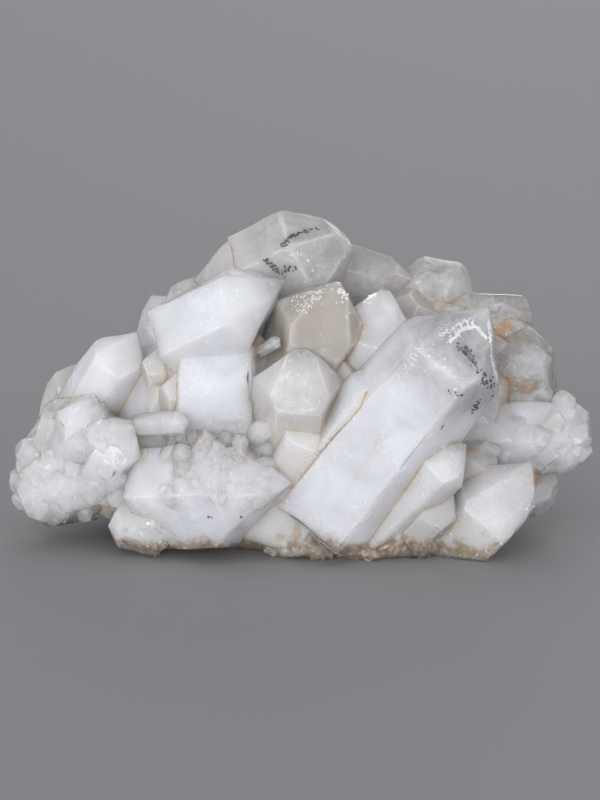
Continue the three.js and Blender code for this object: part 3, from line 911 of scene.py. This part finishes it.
def colour(name, description, default):
    """A colour that the panel shows."""
    return FloatVectorProperty(name=name, description=description, default=default, subtype="COLOR",
                               min=0, max=1)


class QuartzColours(bpy.types.PropertyGroup):
    clear: colour("Clear quartz", "Tint of the clear quartz", (0.97, 0.965, 0.96))
    milk: colour("Milk", "The whitest milk", (0.88, 0.9, 0.97))
    grey_milk: colour("Thin milk", "Milk where it is thin", (0.76, 0.775, 0.83))
    beige: colour("Beige quartz", "Tint of the warmest clear quartz", (0.95, 0.93, 0.9))
    beige_milk: colour("Beige milk", "The warmest milk", (0.5, 0.46, 0.43))
    seam_milk: colour("Milk near seams", "Milk that borders a seam", (0.72, 0.68, 0.62))
    # White along the edges: partly white quartz, partly painted highlight.
    bright_edge_and_highlight: colour("Bright edge", "White quartz and painted highlight along the edges", (0.96, 0.96, 0.97))
    seam_rust: colour("Seam rust", "Thin iron stain in the seams", (0.62, 0.44, 0.26))
    rust: colour("Rust", "Iron stain in the hollows", (0.6, 0.45, 0.28))
    dark_rust: colour("Dark rust", "Iron stain on the underside", (0.37, 0.27, 0.18))
    orange_rust: colour("Orange rust", "Fresh iron stain", (0.75, 0.43, 0.15))
    # Also the colour of the bright strokes, some of which are painted highlight and painted light.
    flake: colour("Flakes", "Bright flakes and veils", (0.95, 0.95, 0.96))
    # Dark mineral, and the painted shadow of a fracture in topPoint.
    speck: colour("Specks", "Dark mineral and painted shadow in the clear tips", (0.03, 0.03, 0.035))
    floor: colour("Floor", "The pale floor", (0.33, 0.33, 0.34))


# What the first operator makes and the next ones read.
shared = {}

# Faces that meet at less than these angles look smooth.
SKIN_SMOOTH = math.radians(14)
MILK_SMOOTH = math.radians(30)

# Millimetres: the ripple in the skin, the milk's rounded edges and how far it ends over the ground.
SKIN_RIPPLE = 0.08
MILK_ROUNDING = 0.15
MILK_FLOOR = 0.3


class QUARTZ_OT_skin(bpy.types.Operator):
    """Cut and join the crystals and lumps into one clear skin"""

    bl_idname = "quartz.skin"
    bl_label = "Clear skin"

    def execute(self, context):
        sizes = context.scene.quartz_sizes
        solids = all_solids()
        skin = grow("clear_skin", solids, 0, [2] * len(solids), sizes.edge, sizes.longest)
        keep_outer_shell(skin)
        offset = centre_of(skin)
        move_points(skin, points_of(skin) - offset * MM)
        roughen(skin, SKIN_RIPPLE)
        describe(skin, solids, -offset, 0)
        activate(skin)
        bpy.ops.object.shade_smooth_by_angle(angle=SKIN_SMOOTH)
        shared.update(solids=solids, offset=offset, relief=relief_group(), stain=stain_group())
        give_material(skin, clear_quartz(shared["relief"], shared["stain"]))
        skin.visible_shadow = False
        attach(skin, BODY)
        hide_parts(NODE)
        return {"FINISHED"}


# The milk in layers, from the outside in: how far it lies under the faces and its longest mesh
# edge, in millimetres, the share of light that spreads inside it, and whether it thins out to wisps
# in the tips.
MILK_LAYERS = (
    ("milk", 0.18, 2.2, 1, True),
    ("milky_heart", 2.6, 3, 0, False),
)


class QUARTZ_OT_milk(bpy.types.Operator):
    """Fill the crystals with milky quartz that thins out towards the tips"""

    bl_idname = "quartz.milk"
    bl_label = "Milk"

    def execute(self, context):
        solids, offset = shared["solids"], shared["offset"]
        milk = milk_group()
        for name, inset, longest, glow, veiled in MILK_LAYERS:
            tops = [2 if veiled else solid.heart for solid in solids]
            body = grow(name, solids, inset, tops, MILK_ROUNDING, longest, MILK_FLOOR + 0.4 * inset)
            move_points(body, points_of(body) - offset * MM)
            roughen(body, 0.12 * inset, keep_flat=False)
            describe(body, solids, -offset, inset)
            activate(body)
            bpy.ops.object.shade_smooth_by_angle(angle=MILK_SMOOTH)
            title = name.replace("_", " ").capitalize()
            material = milky_quartz(title, milk, shared["stain"], veiled, glow)
            give_material(body, material)
            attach(body, BODY)
        return {"FINISHED"}


# Veils: healed cracks inside a crystal, each a bent sheet of tiny flakes. The crystal, the share of
# its height, the sheet's normal, how far it spreads in millimetres, how many flakes, and its bend.
VEILS = (
    ("mainPoint", 0.93, (0.5, -0.3, 0.8), 6, 420, 0.05),
    ("mainPoint", 0.84, (-0.8, -0.2, 0.5), 6, 320, -0.05),
    ("mainPoint", 0.74, (0.2, -0.4, 0.9), 7, 420, 0.04),
    ("topPoint", 0.75, (0.7, -0.4, 0.5), 7, 420, 0.04),
    ("topPoint", 0.55, (-0.2, -0.7, 0.7), 7, 420, -0.04),
    ("topPoint", 0.95, (0.1, 0.6, 0.8), 6, 300, 0.05),
    ("leaningPoint", 0.97, (0.9, -0.3, 0.2), 6, 200, 0.04),
    ("topKnob", 0.7, (0.2, -0.4, 0.9), 6, 260, 0.06),
    ("topRightBar", 0.7, (0.7, -0.3, 0.6), 5, 200, 0.05),
    ("stainedPoint", 0.7, (-0.3, -0.6, 0.7), 6, 260, 0.05),
    ("backLeft", 0.85, (0.6, 0.6, 0.6), 6, 260, 0.05),
    ("backTopLeft", 0.85, (-0.5, 0.5, 0.7), 6, 260, 0.05),
    ("backRight", 0.85, (0.3, 0.5, 0.8), 6, 260, 0.05),
    ("backMiddle", 0.85, (0.3, -0.5, 0.8), 6, 260, 0.05),
    ("backTopRight", 0.88, (-0.3, 0.5, 0.8), 6, 260, 0.05),
    ("farRight", 0.85, (-0.6, 0.3, 0.7), 5, 220, 0.05),
    ("farLeft", 0.85, (0.6, 0.3, 0.7), 5, 220, 0.05),
)
VEIL_THICKNESS = 0.3

# Sparkling flakes just under the faces, in patches as in SUGAR.
SPARKLES = (
    dict(across=(-55, -33), up=(3, 30), side=-1, count=420, size=0.3, seed=11,
         on=("leftKnob", "leftSole", "leftFill", "leftBridge", "leftFoot", "leftStub", "leftPoint")),
    dict(across=(-25, -6), up=(13, 27), side=-1, count=200, size=0.3, seed=12,
         on=("heart", "whiteWall", "centreFoot", "lyingPoint", "crustPointLeft", "crustPointMiddle",
             "crustPointRight")),
    dict(across=(-9, 10), up=(45, 56), side=-1, count=160, size=0.35, seed=13,
         on=("clearFace", "topPoint", "topBridge")),
    dict(across=(31, 56), up=(10, 42), side=-1, count=320, size=0.3, seed=14,
         on=("rightBlock", "stainedPoint", "rightFill", "topRidgeEnd", "rightFoot")),
    dict(across=(-30, 38), up=(0.5, 9), side=-1, count=300, size=0.3, seed=15,
         on=("sole", "flake", "longFlake", "frontKnob", "footPoint", "rightFill", "rightFoot")),
    dict(across=(18, 30), up=(30, 48), side=-1, count=90, size=0.35, seed=16, on=("mainPoint",)),
    dict(across=(-30, 30), up=(5, 50), side=1, count=400, size=0.3, seed=17,
         on=("heart", "leftHeart", "rightHeart", "shoulder", "backTopLeft", "backTopRight", "backRight")),
)

# Strokes of flakes just under the front faces: the crystal, both ends in x and z, how many flakes,
# and how wide the stroke is in millimetres.
DARK_STROKES_AND_SHADOWS = (
    ("mainPoint", (27.5, 42.7), (30.2, 41.4), 24, 1.2),
    ("mainPoint", (29.6, 42.6), (30.8, 39.4), 26, 1.3),
    ("mainPoint", (31.4, 39.2), (33.2, 35.4), 20, 1.4),
    ("mainPoint", (33.2, 36.4), (35.2, 33.2), 32, 2),
    ("mainPoint", (32.1, 32.2), (30.9, 29.8), 20, 0.8),
    ("mainPoint", (25.5, 28), (25.2, 27.2), 4, 0.4),
    ("mainPoint", (25.9, 34.9), (29, 34.1), 6, 0.5),
    # These three rows make a dark crescent near the top: painted shadow of a fracture, not dark mineral.
    ("topPoint", (-3.7, 56.8), (-2.5, 58.2), 18, 0.9),
    ("topPoint", (-2.5, 58.2), (-0.6, 58.8), 16, 0.7),
    ("topPoint", (-0.6, 58.8), (3.2, 59.4), 14, 0.5),
    ("topPoint", (-7.1, 54.2), (-5.2, 53), 13, 0.9),
    ("topPoint", (-5.4, 53), (-2.8, 51.4), 22, 1.3),
    ("topPoint", (-3.4, 52.4), (-1, 52.6), 11, 0.9),
    ("lyingPoint", (-24.6, 13.6), (-24.2, 13.2), 1, 0.2),
    ("lyingPoint", (-17, 10.4), (-16.6, 10), 2, 0.6),
    ("lyingPoint", (-11.4, 10.6), (-11, 10), 2, 0.6),
)
BRIGHT_STROKES_AND_HIGHLIGHTS = (
    ("mainPoint", (26.3, 43.2), (28.5, 45.3), 70, 0.5),
    ("mainPoint", (28.5, 45.3), (31.2, 45.9), 80, 0.5),
    ("mainPoint", (31.2, 45.9), (33.2, 43.6), 70, 0.5),
    ("mainPoint", (33.4, 46.6), (34.2, 39.5), 110, 0.35),
    ("mainPoint", (34.2, 39.5), (35.8, 34.3), 80, 0.35),
    # A broad band of white chips: painted reflection of the light on the upper left cap face.
    ("mainPoint", (24.5, 44.5), (30.5, 47), 130, 1.6),
    ("mainPoint", (21.3, 43.2), (17.6, 36), 90, 1.3),
    ("clearFace", (-0.8, 47), (3.6, 50.4), 110, 2.4),
    ("clearFace", (6.8, 50.4), (11, 48), 70, 1.4),
    ("leaningPoint", (-8.2, 46.6), (-10.6, 40.4), 60, 0.8),
    # White chips on whiteChip: painted light that brightens a chip lying in shade.
    ("whiteChip", (-6.4, 39.6), (-4.4, 41), 40, 1.2),
)

# Millimetres: how wide the chips of the strokes are, and how far chips lie under the faces.
BRIGHT_CHIP = 0.3
DARK_CHIP = 0.42
CHIP_DEPTH = 0.1


def make_flakes(name, places, normals, sizes, material):
    """Copies one thin chip to each place, turned to its normal, and joins the copies in one mesh."""
    deselect_all()
    bpy.ops.mesh.primitive_cylinder_add(vertices=5, radius=0.5, depth=0.2)
    chip = bpy.context.object
    bpy.ops.object.mode_set(mode="EDIT")
    bpy.ops.mesh.select_all(action="DESELECT")
    mesh = bmesh.from_edit_mesh(chip.data)
    for face in mesh.faces:
        face.select = face.normal.z > 0.9
    bpy.ops.transform.resize(value=(0.7, 0.45, 1))
    bpy.ops.object.mode_set(mode="OBJECT")
    shape = points_of(chip)
    faces = [list(face.vertices) for face in chip.data.polygons]
    bpy.data.objects.remove(chip)
    points, polygons = [], []
    for i, (place, normal, size) in enumerate(zip(places, normals, sizes)):
        turn = Vector(normal).to_track_quat("Z", "Y") @ Quaternion((0, 0, 1), chance(i) * math.tau)
        stretch = 1 + chance(i + 0.3)
        polygons += [[corner + len(points) for corner in face] for face in faces]
        points += [Vector(place) + turn @ Vector((x * size * stretch, y * size, z * size))
                   for x, y, z in shape]
    mesh = bpy.data.meshes.new(name)
    mesh.from_pydata([point * MM for point in points], [], polygons)
    piece = bpy.data.objects.new(name, mesh)
    bpy.context.scene.collection.objects.link(piece)
    give_material(piece, material)
    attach(piece, BODY)
    return piece


def scatter(n, salt):
    """A repeatable vector with each part from -1 to 1."""
    return np.array([chance(n * 3 + k + salt) * 2 - 1 for k in range(3)])


def under_faces(solid, point, depth, offset):
    """The point moved to lie depth under the wavy faces of the solid, and the last face's normal."""
    normal = solid.normals[0]
    for _ in range(4):
        above = solid.normals @ point - solid.distances + depth
        worst = above.argmax()
        if above[worst] > 0:
            normal = solid.normals[worst]
            point = point - normal * above[worst]
    shift = waviness((point - offset)[None] * MM, WAVES)[0] / MM
    return point + normal * shift, normal


def strokes(by_name, rows, size, offset):
    """Places, normals and sizes of the flakes that make up the strokes."""
    spots = []
    for k, (name, start, end, count, width) in enumerate(rows):
        solid = by_name[name]
        for i in range(count):
            wander = scatter(i, k * 3.1)[:2] * width / 2
            x, z = np.array(start) + (np.array(end) - start) * (i + 0.5) / count + wander
            point, _ = first_met([solid], x, z, -1)
            if point is None:
                continue
            point, normal = under_faces(solid, point, CHIP_DEPTH, offset)
            spots.append((point, normal + 0.25 * scatter(i, k + 0.2), size * (0.4 + 0.9 * chance(i + k))))
    return spots


class QUARTZ_OT_flakes(bpy.types.Operator):
    """Scatter bright flakes: veils inside the clear tips, sparkle under the broken faces, and strokes that are
    partly painted highlight and painted light
    """

    bl_idname = "quartz.flakes"
    bl_label = "Bright flakes"

    def execute(self, context):
        solids, offset = shared["solids"], shared["offset"]
        by_name = {solid.name: solid for solid in solids}
        found = []
        for k, (name, up, normal, reach, count, bend) in enumerate(VEILS):
            solid = by_name[name]
            middle = solid.root + (solid.tip - solid.root) * up
            facing = np.array(Vector(normal).normalized())
            for i in range(count):
                flat = scatter(i, k * 7.7) * reach
                flat -= facing * (flat @ facing)
                bow = bend * (flat @ flat) + VEIL_THICKNESS * scatter(i, k + 0.4)[0]
                point = middle + flat + facing * bow
                if solid.outside(point[None])[0] < -0.7:
                    found.append((point, facing + 0.5 * scatter(i, k + 0.8), 0.14 + 0.3 * chance(i + k) ** 2))
        for row in SPARKLES:
            for i, point, solid in patch(solids[:len(LUMPS) + len(CRYSTALS)], row, 29):
                if solid.rim(point) > 0.4 + 2.2 * chance(i + 0.6) ** 2:
                    continue
                point, normal = under_faces(solid, point, CHIP_DEPTH, offset)
                tilted = normal + 0.4 * scatter(i, row["seed"])
                found.append((point, tilted, row["size"] * (0.4 + chance(i))))
        found += strokes(by_name, BRIGHT_STROKES_AND_HIGHLIGHTS, BRIGHT_CHIP, offset)
        found = [spot for spot in found if chance(spot[2] * 1000) < context.scene.quartz_sizes.flakes]
        places, normals, sizes = zip(*found)
        colours = context.scene.quartz_colours
        material = flake_material("Bright flakes", colours.flake, colours.grey_milk)
        make_flakes("bright_flakes", np.array(places) - offset, normals, sizes, material)
        return {"FINISHED"}


class QUARTZ_OT_specks(bpy.types.Operator):
    """Scatter strokes of dark mineral under the faces of the clear tips, and a painted fracture shadow in
    topPoint
    """

    bl_idname = "quartz.specks"
    bl_label = "Dark specks"

    def execute(self, context):
        solids, offset = shared["solids"], shared["offset"]
        by_name = {solid.name: solid for solid in solids}
        spots = strokes(by_name, DARK_STROKES_AND_SHADOWS, DARK_CHIP, offset)
        colours = context.scene.quartz_colours
        material = flake_material("Dark mineral and painted shadow", colours.speck, np.array(colours.speck) * 3)
        places, normals, sizes = zip(*spots)
        make_flakes("dark_specks", np.array(places) - offset, normals, sizes, material)
        return {"FINISHED"}


class QUARTZ_OT_stage(bpy.types.Operator):
    """Add the floor, the lights and the camera"""

    bl_idname = "quartz.stage"
    bl_label = "Stage"

    def execute(self, context):
        deselect_all()
        bpy.ops.mesh.primitive_plane_add(size=40, location=(0, 0, 0))
        floor = context.object
        floor.name = "floor"
        give_material(floor, floor_material())
        for name, place, width, power in LIGHTS:
            aim = (-Vector(place)).to_track_quat("-Z", "Y").to_euler()
            bpy.ops.object.light_add(type="SUN", location=place, rotation=aim)
            lamp = context.object
            lamp.name = name
            lamp.data.angle = math.radians(width)
            lamp.data.energy = power
        world = bpy.data.worlds.new("Studio")
        world.use_nodes = True
        background = world.node_tree.nodes["Background"]
        background.inputs["Color"].default_value = (0.95, 0.97, 1, 1)
        background.inputs["Strength"].default_value = WORLD_STRENGTH
        context.scene.world = world
        ahead = Vector((0, math.cos(LOOK_DOWN), -math.sin(LOOK_DOWN)))
        bpy.ops.object.camera_add(location=LOOK_AT - ahead * CAMERA_DISTANCE,
                                  rotation=(math.pi / 2 - LOOK_DOWN, 0, 0))
        camera = context.object
        camera.data.lens = LENS
        camera.data.sensor_width = SENSOR
        camera.data.clip_start = 0.01
        context.scene.camera = camera
        context.scene.view_settings.view_transform = "Standard"
        return {"FINISHED"}


# Soft lights far off: where each one comes from, how wide it looks in degrees, and its strength.
LIGHTS = (
    ("key", (-0.35, -1, 0.14), 40, 1.42),
    ("glint", (-0.35, -1, 1), 3, 0.14),
    ("fill", (0.6, -1, 0.05), 60, 0.82),
    ("left", (-1, -0.3, 0.1), 50, 0.4),
    ("back", (0.2, 1, 0.5), 40, 0.35),
)
WORLD_STRENGTH = 0.45


class QUARTZ_PT_panel(bpy.types.Panel):
    """Lists the steps and the sizes and colours they read"""

    bl_label = "Quartz Cluster"
    bl_idname = "QUARTZ_PT_panel"
    bl_space_type = "VIEW_3D"
    bl_region_type = "UI"
    bl_category = "Quartz"

    def draw(self, context):
        for operator in OPERATORS:
            self.layout.operator(operator.bl_idname)
        for owner in (context.scene.quartz_sizes, context.scene.quartz_colours):
            for name in owner.bl_rna.properties.keys():
                if name not in ("rna_type", "name"):
                    self.layout.prop(owner, name)


OPERATORS = (QUARTZ_OT_skin, QUARTZ_OT_milk, QUARTZ_OT_flakes, QUARTZ_OT_specks, QUARTZ_OT_stage)
CLASSES = (QuartzSizes, QuartzColours, *OPERATORS, QUARTZ_PT_panel)


def register():
    for item in CLASSES:
        bpy.utils.register_class(item)
    bpy.types.Scene.quartz_sizes = PointerProperty(type=QuartzSizes)
    bpy.types.Scene.quartz_colours = PointerProperty(type=QuartzColours)


def unregister():
    del bpy.types.Scene.quartz_colours
    del bpy.types.Scene.quartz_sizes
    for item in reversed(CLASSES):
        bpy.utils.unregister_class(item)


def main():
    register()
    bpy.ops.quartz.skin()
    bpy.ops.quartz.milk()
    bpy.ops.quartz.flakes()
    bpy.ops.quartz.specks()
    bpy.ops.quartz.stage()


if __name__ == "__main__":
    main()
